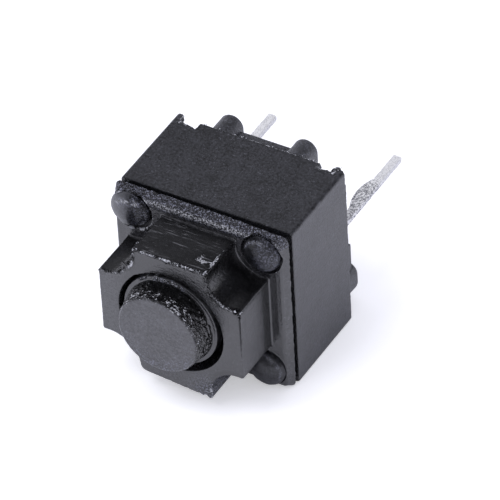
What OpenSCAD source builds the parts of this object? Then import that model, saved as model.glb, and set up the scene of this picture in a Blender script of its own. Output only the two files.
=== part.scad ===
// Tactile push button switch, 6 x 6 mm, 7.3 mm from the board to the plunger's face.
// The board lies in the plane Z = 0, the plunger points along +Z and the pins along -Z.
// The pins stand on the X axis, and +Y is the side with the two notches.

/* [Base] */
// Width of the housing along X
body_w = 6.0; // [5.8:0.1:8]
// Width of the housing along Y
body_l = 6.0; // [5.8:0.1:8]
// Height of the base box from its underside to the seam
base_h = 3.3; // [3:0.1:5]
// Thickness of the base's floor
floor_t = 1.0; // [0.7:0.05:1.2]
// Thickness of the base's side walls at their middle
wall_t = 0.6; // [0.4:0.05:0.7]
// Rounding of the base's four upright edges
edge_r = 0.08; // [0.04:0.01:0.2]

/* [Feet] */
// Height of the standoff feet under the base
foot_h = 1.0; // [0.6:0.1:2]
// Thickness of a foot along X
foot_d = 0.8; // [0.6:0.05:1]
// Length of a foot along Y
foot_l = 1.1; // [1:0.05:1.3]
// Rounding of a foot's tip
foot_tip_r = 0.12; // [0.05:0.01:0.25]
// Distance of the two feet on the notched side from that side's face
foot_rear_in = 0.16; // [0.1:0.02:0.4]
// Place along X of the left foot on the notched side
foot_rear_left_x = -1.54; // [-1.7:0.01:-1.2]
// Place along X of the right foot on the notched side
foot_rear_right_x = 1.08; // [0.8:0.01:1.5]
// Distance of the other two feet from the faces at X+ and X-
foot_front_side_in = 0.28; // [0.15:0.01:0.5]
// Distance of the other two feet from the face at Y-
foot_front_in = 0.32; // [0.15:0.01:0.6]
// Height of the ribs that brace the feet
rib_h = 0.8; // [0.3:0.05:0.9]
// Thickness of those ribs
rib_t = 0.3; // [0.2:0.05:0.5]
// Distance of the two side ribs from the faces at X+ and X-
rib_side_in = 0.4; // [0.3:0.02:0.6]
// Reach of the two side ribs from the middle of their foot
rib_side_l = 1.45; // [0.9:0.05:1.6]

/* [Notches] */
// Width of each notch in the base's lower edge
notch_w = 0.62; // [0.3:0.02:0.8]
// Height of each notch
notch_h = 0.3; // [0.1:0.02:0.5]
// Depth of each notch into the base
notch_l = 0.5; // [0.2:0.05:0.7]
// Distance of each notch from the corner
notch_in = 0.28; // [0.2:0.02:0.4]

/* [Cover] */
// Thickness of the cover's plate
cover_t = 0.5; // [0.4:0.05:0.8]
// Inset of the cover's front edges
cover_in = 0.12; // [0.05:0.01:0.2]
// Width of the chamfer on the cover's front edges
cover_chamfer = 0.08; // [0.03:0.01:0.12]
// Rounding of the cover's four upright edges
cover_r = 0.22; // [0.05:0.01:0.3]
// Height of the shadow groove at the seam
seam_h = 0.05; // [0.02:0.01:0.1]
// Depth of the shadow groove at the seam
seam_in = 0.06; // [0.02:0.01:0.1]
// Distance of the cross-shaped plinth's arm ends from the housing's faces
plinth_in = 0.525; // [0.4:0.025:0.65]
// Height of the plinth above the cover's plate
plinth_h = 1.75; // [1:0.05:3]
// Radius of the four scooped corners of the plinth
scoop_r = 1.07; // [0.9:0.01:1.1]
// Bevel of the eight upright edges of the plinth's arms
arm_bevel = 0.06; // [0.03:0.01:0.12]
// Fillet at the foot of the plinth's arm ends
foot_fillet = 0.14; // [0.06:0.01:0.2]
// Wall between the bore round the plunger and the ends of the plinth's arms
bore_wall = 0.645; // [0.575:0.005:0.725]

/* [Stakes] */
// Distance of the stake posts from the housing's side faces
stake_in = 0.74; // [0.7:0.01:0.78]
// Diameter of a stake post
stake_d = 1.0; // [0.7:0.05:1.1]
// Diameter of a melted stake head
head_d = 1.34; // [1.2:0.02:1.4]
// Height of a stake head above its recess
head_h = 0.42; // [0.2:0.02:0.5]
// Gap all round between a stake head and its recess
head_gap = 0.05; // [0.03:0.01:0.08]
// Depth of the recess round a stake head
recess_t = 0.08; // [0.04:0.01:0.15]
// Gap all round between a stake post and its hole
stake_fit = 0.02; // [0.01:0.01:0.05]

/* [Plunger] */
// Gap all round between the plunger's shoulder and the bore
bore_gap = 0.19; // [0.05:0.01:0.3]
// Width of the plunger's shoulder
shoulder_w = 0.14; // [0.08:0.01:0.25]
// Taper of the button's flank, measured at its face
flank_in = 0.13; // [0.05:0.01:0.25]
// Height of the plunger's face above the plinth
proud_h = 0.75; // [0.5:0.05:2]
// Depth of the shoulder below the plinth's face
collar_sink = 0.05; // [0:0.01:0.3]
// Rounding of the edge of the plunger's face
face_edge_r = 0.07; // [0.02:0.01:0.15]
// Reach of the flange under the cover, past the bore's wall
flange_lip = 0.12; // [0.08:0.01:0.16]
// Thickness of the flange
flange_t = 0.5; // [0.3:0.05:0.7]
// Depth of the flange's guide recess in the cover
guide_t = 0.45; // [0.3:0.05:0.55]
// Gap all round between the flange and its guide recess
guide_fit = 0.05; // [0.02:0.01:0.08]
// Gap between the resting flange and the cover
stop_gap = 0.02; // [0:0.01:0.05]
// Diameter of the stem under the flange
stem_d = 1.9; // [1.4:0.1:2.2]
// Travel of the plunger
travel = 0.3; // [0.15:0.05:0.5]

/* [Contacts] */
// Sheet thickness of the terminals
sheet_t = 0.2; // [0.15:0.01:0.25]
// Distance between the two pins
pin_pitch = 4.5; // [4.3:0.05:4.7]
// Width of a pin
pin_w = 0.29; // [0.25:0.01:0.35]
// Length of a pin below the board's upper face
pin_l = 3.5; // [2.5:0.1:4]
// Distance from a pin's tip to the middle of its bulge
pin_bulge_at = 2.1; // [1.5:0.05:2.4]
// Length of the bulge along the pin
pin_bulge_l = 1.55; // [0.8:0.05:1.8]
// Height of the bulge on the pin's inner edge
pin_bulge_h = 0.18; // [0.08:0.01:0.25]
// Inner radius of the fold between a strip and its pin
fold_r = 0.1; // [0.06:0.01:0.15]
// Width of the outer contact ring's edge that lies under the wall round the dome
ring_lap_w = 0.05; // [0.02:0.01:0.1]
// Width of the outer contact ring
ring_w = 0.55; // [0.4:0.05:0.7]
// Diameter of the raised centre contact
centre_d = 0.9; // [0.6:0.05:1.2]
// Height of the centre contact above the floor
centre_h = 0.1; // [0.05:0.01:0.15]
// Width of the strip that leads to the centre contact
strip_w = 0.7; // [0.5:0.05:0.9]
// Gap between the strip and the ends of the ring
strip_gap = 0.35; // [0.25:0.05:0.5]
// Depth of that strip below the floor, out of the snap dome's reach
strip_drop = 0.15; // [0.1:0.05:0.25]
// Width of the ledge round the snap dome's pocket
ledge_w = 0.3; // [0.2:0.02:0.4]
// Depth of the snap dome's pocket
pocket_h = 0.5; // [0.45:0.05:0.8]
// Gap all round between the snap dome and its pocket
dome_fit = 0.05; // [0.03:0.01:0.1]
// Width of the snap dome's flat rim
rim_w = 0.16; // [0.1:0.02:0.3]
// Sheet thickness of the snap dome
dome_t = 0.06; // [0.04:0.01:0.08]
// Thickness of the damper pad
pad_t = 0.5; // [0.3:0.05:0.8]
// Diameter of the damper pad
pad_d = 2.1; // [1.6:0.1:2.6]
// Diameter of the stud that holds the damper pad
stud_d = 0.7; // [0.5:0.05:0.9]
// Gap between the damper pad and the snap dome
pad_gap = 0.02; // [0.01:0.01:0.05]

/* [Hidden] */
$fn = 64;
eps = 0.1;

// Heights above the board
floor_z = foot_h + floor_t;
seam_z = foot_h + base_h;
plate_z = seam_z + cover_t;
plinth_z = plate_z + plinth_h;
face_z = plinth_z + proud_h;
shoulder_z = plinth_z - collar_sink;
flange_z = seam_z + guide_t - stop_gap;
recess_z = plate_z - recess_t;
dome_z = floor_z + centre_h + travel + dome_t;
pad_z = dome_z + pad_gap;
stem_z = pad_z + pad_t;

// Places and fits worked out from the sizes above
cavity_r = min(body_w, body_l) / 2 - wall_t;
pocket_r = cavity_r - ledge_w;
dome_r = pocket_r - dome_fit;
ring_r = pocket_r + ring_lap_w;
plinth_x = body_w / 2 - plinth_in;
plinth_y = body_l / 2 - plinth_in;
bore_r = min(plinth_x, plinth_y) - bore_wall;
collar_r = bore_r - bore_gap;
button_r = collar_r - shoulder_w;
face_r = button_r - flank_in;
flange_r = bore_r + flange_lip;
stake_x = body_w / 2 - stake_in;
stake_y = body_l / 2 - stake_in;
rear_y = body_l / 2 - foot_rear_in - foot_l / 2;
front_y = foot_front_in + foot_l / 2 - body_l / 2;
front_x = body_w / 2 - foot_front_side_in - foot_d / 2;
rib_x = body_w / 2 - rib_side_in;
notch_x = body_w / 2 - notch_in - notch_w / 2;
stud_h = pad_t / 2;
sheet_z = floor_z - sheet_t;
pin_x = pin_pitch / 2;
strip_y = -sheet_t - fold_r - strip_w / 2;
recess_d = head_d + 2 * head_gap;

// A rectangle about the origin with true round corners
module rounded_plate(w, l, r) {
    square([w - 2 * r, l], center = true);
    square([w, l - 2 * r], center = true);
    for (x = [-1, 1], y = [-1, 1])
        translate([x * (w / 2 - r), y * (l / 2 - r)])
            circle(r = r);
}

// One child at each of the four stake posts
module at_stakes() {
    for (x = [-1, 1], y = [-1, 1])
        translate([x * stake_x, y * stake_y])
            children();
}

// Half section of a foot, from its middle outward, with the rounded tip at height 0
module foot_section() {
    r = foot_d / 2;
    translate([0, foot_tip_r])
        square([r, foot_h - foot_tip_r + eps]);
    square([r - foot_tip_r, foot_h]);
    intersection() {
        translate([r - foot_tip_r, foot_tip_r])
            circle(r = foot_tip_r);
        square([r, foot_h]);
    }
}

// A foot that hangs from the floor, with two round ends and a tip that rests at Z = 0
module foot(x, y) {
    run = foot_l - foot_d;
    translate([x, y, 0]) {
        for (end = [-1, 1])
            translate([0, end * run / 2, 0])
                rotate_extrude()
                    foot_section();
        rotate([90, 0, 0])
            linear_extrude(height = run, center = true) {
                foot_section();
                mirror([1, 0])
                    foot_section();
            }
    }
}

// A low rib under the floor between two corners of its plan
module rib(x0, y0, x1, y1) {
    translate([x0, y0, foot_h - rib_h])
        cube([x1 - x0, y1 - y0, rib_h + eps]);
}

// Melted head of a stake: part of a ball with a flat foot
module stake_head() {
    ball_r = (pow(head_d / 2, 2) + pow(head_h, 2)) / (2 * head_h);
    intersection() {
        translate([0, 0, head_h - ball_r])
            sphere(r = ball_r);
        cylinder(d = head_d, h = head_h + eps);
    }
}

// Outline of a pin seen along Y up to height top, with its bulge on the edge that faces the other pin
module pin_outline(top) {
    bulge_r = (pow(pin_bulge_l / 2, 2) + pow(pin_bulge_h, 2)) / (2 * pin_bulge_h);
    translate([-pin_w / 2, -pin_l])
        square([pin_w, pin_l + top]);
    intersection() {
        translate([bulge_r - pin_w / 2 - pin_bulge_h, pin_bulge_at - pin_l])
            circle(r = bulge_r);
        translate([-pin_w / 2 - pin_bulge_h, pin_bulge_at - pin_l - pin_bulge_l / 2])
            square([pin_bulge_h + pin_w / 2, pin_bulge_l]);
    }
}

// Fold between a flat strip and its pin, seen along X: a quarter ring below the strip
module fold_outline() {
    outer = fold_r + sheet_t;
    intersection() {
        difference() {
            circle(r = outer);
            circle(r = fold_r);
        }
        square(outer);
    }
}

// A pin, its fold and a strip from strip_from outward, whose underside is at height strip_z.
// The straight edge faces outward; side is 1 at X+ and -1 at X-.
module pin(side, strip_from, strip_z) {
    fold_z = strip_z - fold_r;
    mirror([side > 0 ? 0 : 1, 0, 0]) {
        translate([pin_x, 0, 0])
            rotate([90, 0, 0])
                linear_extrude(height = sheet_t)
                    pin_outline(fold_z);
        translate([pin_x, -sheet_t - fold_r, fold_z])
            rotate([90, 0, 90])
                linear_extrude(height = pin_w, center = true)
                    fold_outline();
        translate([strip_from, strip_y - strip_w / 2, strip_z])
            cube([pin_x + pin_w / 2 - strip_from, strip_w, sheet_t]);
    }
}

// Outer contact: an open ring in the floor, joined to the pin at X-
module terminal_left_shape() {
    gap = strip_w + 2 * strip_gap;
    translate([0, 0, sheet_z])
        linear_extrude(height = sheet_t)
            difference() {
                circle(r = ring_r);
                circle(r = ring_r - ring_w);
                translate([0, strip_y - gap / 2])
                    square([ring_r, gap]);
            }
    pin(-1, ring_r - ring_w, sheet_z);
}

// Centre contact: a raised round boss on a sunk strip across the floor, joined to the pin at X+
module terminal_right_shape() {
    strip_z = sheet_z - strip_drop;
    translate([0, 0, strip_z])
        cylinder(d = centre_d, h = floor_z + centre_h - strip_z);
    pin(1, 0, strip_z);
}

module base() {
    color([0.2, 0.2, 0.22])
        difference() {
            union() {
                difference() {
                    translate([0, 0, foot_h])
                        linear_extrude(height = base_h)
                            rounded_plate(body_w, body_l, edge_r);
                    translate([0, 0, floor_z])
                        cylinder(r = pocket_r, h = base_h);
                    translate([0, 0, floor_z + pocket_h])
                        cylinder(r = cavity_r, h = base_h);
                }
                at_stakes()
                    translate([0, 0, seam_z - eps])
                        cylinder(d = stake_d, h = recess_z - seam_z + eps);
                at_stakes()
                    translate([0, 0, recess_z])
                        stake_head();
                foot(foot_rear_left_x, rear_y);
                foot(foot_rear_right_x, rear_y);
                foot(-front_x, front_y);
                foot(front_x, front_y);
                rib(foot_rear_left_x, rear_y - rib_t / 2, foot_rear_right_x, rear_y + rib_t / 2);
                for (side = [0, 1])
                    mirror([side, 0, 0])
                        rib(rib_x - rib_t, front_y, rib_x, front_y + rib_side_l);
            }
            for (x = [-notch_x, notch_x])
                translate([x - notch_w / 2, body_l / 2 - notch_l, foot_h - eps])
                    cube([notch_w, notch_l + eps, notch_h + eps]);
            terminal_left_shape();
            terminal_right_shape();
        }
}

// Section of the cover's plate for a housing of width w, as seen along a side
module plate_section(w) {
    h = w / 2;
    front = h - cover_in;
    polygon([
        [-h + seam_in, 0], [h - seam_in, 0],
        [h - seam_in, seam_h], [h, seam_h],
        [front, cover_t - cover_chamfer], [front - cover_chamfer, cover_t],
        [-front + cover_chamfer, cover_t], [-front, cover_t - cover_chamfer],
        [-h, seam_h], [-h + seam_in, seam_h],
    ]);
}

// Distance from the arm's axis to its scoop's wall, at x; the scoop's middle lies at [near, side]
function scoop_y(x, near, side) = side - sqrt(pow(scoop_r, 2) - pow(x - near, 2));

// Bevels the edge between an arm's end, at distance half from the origin, and the scoop beside it.
// The children are the plan to be bevelled.
module bevel_arm_edge(half, near, side) {
    edge = scoop_y(half, near, side);
    inner = half - arm_bevel;
    difference() {
        children();
        polygon([
            [half, edge - arm_bevel],
            [inner, scoop_y(inner, near, side)],
            [inner, edge + eps],
            [half + eps, edge + eps],
            [half + eps, edge - arm_bevel],
        ]);
    }
}

// One quarter of the plinth's plan, in the quadrant X+ Y+, with its two arm edges bevelled
module plinth_quarter() {
    mirror([1, -1])
        bevel_arm_edge(plinth_y, stake_y, stake_x)
            mirror([1, -1])
                bevel_arm_edge(plinth_x, stake_x, stake_y)
                    difference() {
                        square([plinth_x, plinth_y]);
                        translate([stake_x, stake_y])
                            circle(r = scoop_r);
                    }
}

// Plan of the plinth: a cross with its four corners scooped out round the stake heads
module plinth_plan() {
    for (x = [0, 1], y = [0, 1])
        mirror([x, 0])
            mirror([0, y])
                plinth_quarter();
}

// Hollow fillet at the foot of an arm's end that faces X+ at distance half.
// The middles of the scoops beside it lie at [near, side] and [near, -side].
module arm_foot(half, near, side) {
    flat = scoop_y(half, near, side) - arm_bevel;
    translate([half, 0, cover_t])
        rotate([90, 0, 0])
            linear_extrude(height = 2 * flat, center = true)
                difference() {
                    square(foot_fillet);
                    translate([foot_fillet, foot_fillet])
                        circle(r = foot_fillet);
                }
}

// The cover's plate, with its stepped seam and inset front edges
module cover_plate() {
    intersection() {
        rotate([90, 0, 0])
            linear_extrude(height = body_l, center = true)
                plate_section(body_w);
        rotate([90, 0, 90])
            linear_extrude(height = body_w, center = true)
                plate_section(body_l);
        linear_extrude(height = cover_t)
            rounded_plate(body_w, body_l, cover_r);
    }
}

module cover() {
    top = cover_t + plinth_h;
    color([0.24, 0.24, 0.26])
        translate([0, 0, seam_z])
            difference() {
                union() {
                    cover_plate();
                    linear_extrude(height = top)
                        plinth_plan();
                    for (turn = [0, 180]) {
                        rotate([0, 0, turn])
                            arm_foot(plinth_x, stake_x, stake_y);
                        rotate([0, 0, turn + 90])
                            arm_foot(plinth_y, stake_y, stake_x);
                    }
                }
                translate([0, 0, -eps])
                    cylinder(r = bore_r, h = top + 2 * eps);
                translate([0, 0, -eps])
                    cylinder(r = flange_r + guide_fit, h = guide_t + eps);
                at_stakes()
                    translate([0, 0, -eps])
                        cylinder(d = stake_d + 2 * stake_fit, h = cover_t + 2 * eps);
                at_stakes()
                    translate([0, 0, cover_t - recess_t])
                        cylinder(d = recess_d, h = recess_t + eps);
            }
}

// Half section of the plunger: stud, stem, flange, shoulder and the tapered button with its rounded face edge
module plunger_section() {
    lean = atan(flank_in / (face_z - shoulder_z));
    reach = face_edge_r / tan(45 + lean / 2);
    middle = [face_r - reach, face_z - face_edge_r];
    polygon([
        [0, stem_z - stud_h],
        [stud_d / 2, stem_z - stud_h],
        [stud_d / 2, stem_z],
        [stem_d / 2, stem_z],
        [stem_d / 2, flange_z - flange_t],
        [flange_r, flange_z - flange_t],
        [flange_r, flange_z],
        [collar_r, flange_z],
        [collar_r, shoulder_z],
        [button_r, shoulder_z],
        [face_r + reach * sin(lean), face_z - reach * cos(lean)],
        middle,
        [face_r - reach, face_z],
        [0, face_z],
    ]);
    translate(middle)
        circle(r = face_edge_r);
}

module plunger() {
    color([0.22, 0.22, 0.24])
        rotate_extrude()
            plunger_section();
}

module damper_pad() {
    color([0.85, 0.85, 0.82])
        translate([0, 0, pad_z])
            difference() {
                cylinder(d = pad_d, h = pad_t);
                translate([0, 0, pad_t - stud_h])
                    cylinder(d = stud_d, h = stud_h + eps);
            }
}

// Height of a ball-shaped cap at radius r, with the given top and rim radius
function cap_rise(r, top, rim) =
    let (ball_r = (rim * rim + top * top) / (2 * top))
        sqrt(ball_r * ball_r - r * r) - (ball_r - top);

// Sprung disc: a ball-shaped cap of thin sheet inside a flat rim
module snap_dome() {
    cap_r = dome_r - rim_w;
    top = dome_z - floor_z - dome_t;
    steps = 12;
    radii = [for (i = [0:steps]) cap_r * i / steps];
    outer = [for (r = radii) [r, cap_rise(r, top, cap_r) + dome_t]];
    inner = [for (i = [steps:-1:0]) [radii[i], cap_rise(radii[i], top, cap_r)]];
    rim = [[dome_r, dome_t], [dome_r, 0]];
    color([0.78, 0.79, 0.8])
        translate([0, 0, floor_z])
            rotate_extrude()
                polygon(concat(outer, rim, inner));
}

module terminal_left() {
    color([0.8, 0.8, 0.78])
        terminal_left_shape();
}

module terminal_right() {
    color([0.8, 0.8, 0.78])
        terminal_right_shape();
}

base();
cover();
plunger();
damper_pad();
snap_dome();
terminal_left();
terminal_right();
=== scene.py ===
"""Dresses the packed model of a tactile push button switch.

The board lies in the plane Z = 0, the plunger points along +Z, the pins point along -Z, and +Y is the notched side.
Sizes in the property groups are in metres; the shape functions work in millimetres.
"""

import math

import bmesh
import bpy
import numpy as np
from bpy.props import FloatProperty, FloatVectorProperty, IntProperty, PointerProperty
from mathutils import Matrix, Vector, noise


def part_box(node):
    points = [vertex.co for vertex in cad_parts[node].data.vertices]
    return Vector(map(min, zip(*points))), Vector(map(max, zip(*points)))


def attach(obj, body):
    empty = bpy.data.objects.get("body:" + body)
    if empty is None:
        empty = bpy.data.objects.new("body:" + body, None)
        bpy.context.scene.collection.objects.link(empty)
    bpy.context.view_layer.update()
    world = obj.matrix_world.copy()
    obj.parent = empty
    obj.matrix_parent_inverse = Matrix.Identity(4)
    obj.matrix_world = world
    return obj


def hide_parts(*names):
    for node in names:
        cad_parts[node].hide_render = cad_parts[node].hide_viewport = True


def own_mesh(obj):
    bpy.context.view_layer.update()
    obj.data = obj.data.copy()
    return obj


bl_info = {
    "name": "Tactile Push Button Switch",
    "version": (1, 0, 0),
    "blender": (4, 5, 0),
    "location": "View3D > Sidebar > Switch",
    "description": "Builds the moulded housing, the plunger, the terminals and the stage of a small push switch",
    "category": "Object",
}

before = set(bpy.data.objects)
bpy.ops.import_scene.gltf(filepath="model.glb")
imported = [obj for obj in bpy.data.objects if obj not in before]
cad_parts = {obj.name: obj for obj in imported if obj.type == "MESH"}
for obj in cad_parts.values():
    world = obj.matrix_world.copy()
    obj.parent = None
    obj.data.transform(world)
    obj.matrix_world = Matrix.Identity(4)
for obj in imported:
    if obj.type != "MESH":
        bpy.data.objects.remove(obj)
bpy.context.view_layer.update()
MM = 0.001
BASE_LOW, BASE_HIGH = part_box("base")
COVER_LOW, COVER_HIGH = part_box("cover")
BUTTON_LOW, BUTTON_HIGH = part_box("plunger")

# Millimetres: half the box's width, and the heights of the seam and of the plinth's face
HALF = (BASE_HIGH.x - BASE_LOW.x) / 2 / MM
SEAM = COVER_LOW.z / MM
TOP = COVER_HIGH.z / MM

# Seed of the notches' torn faces, so that they come out the same each time
NOTCH_SEED = 4


# Settings


def size(name, default, description):
    """A length in metres, given in millimetres."""
    return FloatProperty(name=name, description=description, default=default * MM, min=0.0, precision=5,
                         unit="LENGTH", subtype="DISTANCE")


def colour(name, default, description):
    """A linear colour."""
    return FloatVectorProperty(name=name, description=description, default=default, size=3, min=0.0, max=1.0,
                               subtype="COLOR")


def share(name, default, description):
    """A plain number from 0 to 1."""
    return FloatProperty(name=name, description=description, default=default, min=0.0, max=1.0, subtype="FACTOR")


class Sizes:
    """Reads the lengths of a property group in millimetres."""

    def __init__(self, group):
        self.group = group

    def __getattr__(self, name):
        return getattr(self.group, name) / MM


class SwitchHousing(bpy.types.PropertyGroup):
    """The moulded base box with its feet, ribs and notches"""

    width: size("Width", (BASE_HIGH.x - BASE_LOW.x) / MM, "Width of the box along X and Y")
    under: size("Underside", 1.0, "Height of the box's underside above the board")
    seam: size("Seam", COVER_LOW.z / MM, "Height of the seam between base and cover")
    corner: size("Corner", 0.12, "Rounding of the upright edges")
    edge: size("Edge", 0.035, "Rounding of the other edges")
    foot_width: size("Foot width", 0.8, "Thickness of a foot along X")
    foot_length: size("Foot length", 1.1, "Length of a foot along Y")
    foot_tip: size("Foot tip", 0.12, "Rounding of a foot's tip")
    notch_width: size("Notch width", 0.62, "Width of a notch along X")
    notch_height: size("Notch height", 0.3, "Height of a notch")
    notch_depth: size("Notch depth", 0.5, "Depth of a notch along Y")
    plastic: colour("Plastic", (0.0125, 0.0128, 0.0155), "Colour of the base's plastic")


class SwitchCover(bpy.types.PropertyGroup):
    """The moulded cover with its cross-shaped plinth"""

    arm: size("Arm", 2.475, "Distance of an arm's end from the middle")
    scoop: size("Scoop", 1.07, "Radius of the scooped corners")
    stake: size("Stake place", 2.26, "Distance of a stake from the two middle planes")
    plate: size("Plate", 0.5, "Thickness of the plate")
    bore: size("Bore", 1.83, "Radius of the bore")
    edge: size("Edge", 0.035, "Rounding of the plinth's edges")
    fillet: size("Fillet", 0.06, "Fillet at the plinth's foot")
    gap: size("Seam gap", 0.14, "Height of the dark gap at the seam")
    drift: size("Drift", 0.09, "How far the cover and the plunger sit off the box's middle towards X-")
    plastic: colour("Plastic", (0.012, 0.012, 0.0135), "Colour of the cover's plastic")
    torn: colour("Torn plastic", (0.58, 0.59, 0.64), "Colour of torn and scuffed edges")


class SwitchStakes(bpy.types.PropertyGroup):
    """The four melted stake heads"""

    radius: size("Radius", 0.635, "Radius of a head")
    height: size("Height", 0.4, "Height of a head above its recess")
    melt: size("Melt", 0.06, "Depth of the lumps left by the melting")
    seed: IntProperty(name="Seed", description="Seed of the lumps", default=3, min=0)


class SwitchButton(bpy.types.PropertyGroup):
    """The plunger"""

    face: size("Face radius", 1.37, "Radius of the face")
    foot: size("Foot radius", 1.5, "Radius of the button's flank at the shoulder")
    collar: size("Collar radius", 1.64, "Radius of the shoulder")
    pits: size("Pits", 0.034, "Depth of the pits in the flank")
    plastic: colour("Plastic", (0.012, 0.012, 0.0135), "Colour of the plunger's plastic")


class SwitchTerminals(bpy.types.PropertyGroup):
    """The two tinned pins"""

    pitch: size("Pitch", 4.5, "Distance between the pins")
    width: size("Width", 0.29, "Width of a pin")
    sheet: size("Sheet", 0.2, "Thickness of the sheet")
    length: size("Length", 3.5, "Length below the board's upper face")
    bulge: size("Bulge", 0.18, "Height of the bulge on the inner edge")
    tin: colour("Tin", (0.97, 0.97, 0.98), "Colour of the tin")


class SwitchStage(bpy.types.PropertyGroup):
    """Floor, camera and lamp"""

    lens: FloatProperty(name="Lens", description="Focal length of the camera", default=400.0, unit="CAMERA")
    distance: size("Distance", 169.6, "Distance of the camera")
    floor: colour("Floor", (0.9, 0.905, 0.96), "Colour of the floor")
    room: share("Room", 0.035, "Brightness of the dark room that glossy surfaces mirror")
    panel: share("Panel", 0.21, "Brightness of the panel behind the switch that glossy surfaces mirror")
    ambient: share("Ambient", 0.75, "Strength of the light from all round")
    key: FloatProperty(name="Key lamp", description="Power of the key lamp", default=0.048, min=0.0, unit="POWER")


# Outlines and falloffs, in millimetres


def lengths(points):
    """A closed outline with its first point again at the end, and the length along it at each point."""
    closed = np.vstack([points, points[:1]])
    return closed, np.concatenate([[0.0], np.cumsum(np.linalg.norm(np.diff(closed, axis=0), axis=1))])


def shares_of(points):
    """Share of a closed outline's length at each of its points."""
    along = lengths(points)[1]
    return along[:-1] / along[-1]


def at_shares(points, shares):
    """Points of a closed outline at the given shares of its length."""
    closed, along = lengths(points)
    return np.column_stack([np.interp(shares * along[-1], along, closed[:, k]) for k in (0, 1)])


def offset(points, out):
    """Closed anticlockwise outline moved outwards; out is one distance or one for each point."""
    tangent = np.roll(points, -1, 0) - np.roll(points, 1, 0)
    tangent /= np.linalg.norm(tangent, axis=1)[:, None]
    normal = np.column_stack([tangent[:, 1], -tangent[:, 0]])
    return points + normal * np.reshape(np.broadcast_to(out, len(points)), (-1, 1))


def ring(points, z):
    """Outline at one height, or at one height for each point."""
    return np.column_stack([points, np.broadcast_to(z, len(points))])


def arc(x, y, radius, turns):
    """Points of a circle at the given turns in radians."""
    return [(x + radius * math.cos(a), y + radius * math.sin(a)) for a in turns]


def circle(radius, count):
    return np.array(arc(0, 0, radius, np.linspace(0, 2 * math.pi, count, endpoint=False)))


def turned(profile, count):
    """Rings of a turned shape; profile holds radii and heights."""
    return [ring(circle(radius, count), z) for radius, z in profile]


def bevel(radius, count, first=0.0, last=math.pi / 2):
    """Steps of a rounded edge: how far each lies from the one face and from the other."""
    return [(radius * (1 - math.cos(a)), radius * (1 - math.sin(a))) for a in np.linspace(first, last, count)]


def quarters(parts):
    """Joins four parts of an outline, each turned a quarter further."""
    return np.array([Matrix.Rotation(k * math.pi / 2, 2) @ Vector(p) for k, part in enumerate(parts) for p in part])


def rounded_square(half, radius, side=100, corner=8):
    """Anticlockwise from the middle of the X+ side."""
    flat = half - radius
    part = [(half, y) for y in np.linspace(0, flat, side // 2, endpoint=False)]
    part += arc(flat, flat, radius, np.linspace(0, math.pi / 2, corner, endpoint=False))
    part += [(x, half) for x in np.linspace(flat, 0, side // 2, endpoint=False)]
    return quarters([part] * 4)


def half_arm(half, scoop, middle, corner, last):
    """From the middle of the X+ arm's end round its corner to the middle of the scoop."""
    lean = half - corner - middle
    down = math.sqrt((scoop + corner) ** 2 - lean ** 2)
    touch = Vector((lean, -down)) * (scoop / (scoop + corner))
    end = Vector((1, 0)).angle(touch - Vector((lean, -down)))
    points = [(half, y) for y in np.linspace(0, middle - down, 45, endpoint=False)]
    points += arc(middle + lean, middle - down, corner, np.linspace(0, end, 10, endpoint=False))
    turns = np.linspace(math.atan2(touch.y, touch.x), -0.75 * math.pi, 55 + last, endpoint=last)
    return points + arc(middle, middle, scoop, turns)


def plinth_plan(s, out=0.0):
    """The plinth's plan as worn, grown by out, anticlockwise from the middle of the X+ arm.

    It is a square with scooped corners. Three scoops are smaller, and the Y- arm's end leans.
    """
    less = (0.17, 0.0, 0.02, 0.12)
    rounding = ((0.05, 0.05), (0.05, 0.05), (0.09, 0.2), (0.08, 0.06))
    parts = []
    for shrink, corners in zip(less, rounding):
        first, second = (max(c + out, 0.004) for c in corners)
        half, scoop = s.arm + out, s.scoop - shrink - out
        part = half_arm(half, scoop, s.stake, first, False)
        parts.append(part + [(y, x) for x, y in half_arm(half, scoop, s.stake, second, True)[:0:-1]])
    points = quarters(parts)
    points[:, 1] -= 0.085 * points[:, 0] * ramp(-2.0, -2.4, points[:, 1])
    return points


def ragged(points, scale, seed, octaves=3):
    """Fractal noise from about -1 to 1 at each point."""
    shift = Vector((seed * 7.31, seed * 3.17, seed * 1.93))
    return np.array([noise.fractal(Vector(p) / scale + shift, 0.8, 2.0, octaves) for p in points])


def ramp(low, high, x):
    """Rises smoothly from 0 at low to 1 at high."""
    t = np.clip((x - low) / (high - low), 0, 1)
    return t * t * (3 - 2 * t)


def spot(width, *away):
    """1 where all the distances are 0, and next to nothing beyond twice the width."""
    return np.exp(-sum(a ** 2 for a in away) / width ** 2)


# Pieces


def linked(name, data):
    """A new object in the scene."""
    obj = bpy.data.objects.new(name, data)
    bpy.context.scene.collection.objects.link(obj)
    return obj


def mend(mesh, scale=1.0, floor=None):
    """Scales a mesh, merges its doubles, cuts it off and caps it below floor, and turns its normals outward."""
    made = bmesh.new()
    made.from_mesh(mesh)
    bmesh.ops.scale(made, vec=(scale,) * 3, verts=made.verts)
    bmesh.ops.remove_doubles(made, verts=made.verts, dist=1e-4)
    if floor is not None:
        everything = made.verts[:] + made.edges[:] + made.faces[:]
        cut = bmesh.ops.bisect_plane(made, geom=everything, plane_co=(0, 0, floor), plane_no=(0, 0, 1),
                                     clear_inner=True)
        edges = [e for e in cut["geom_cut"] if isinstance(e, bmesh.types.BMEdge)]
        bmesh.ops.contextual_create(made, geom=edges)
    bmesh.ops.recalc_face_normals(made, faces=made.faces)
    made.to_mesh(mesh)
    made.free()
    return mesh


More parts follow.
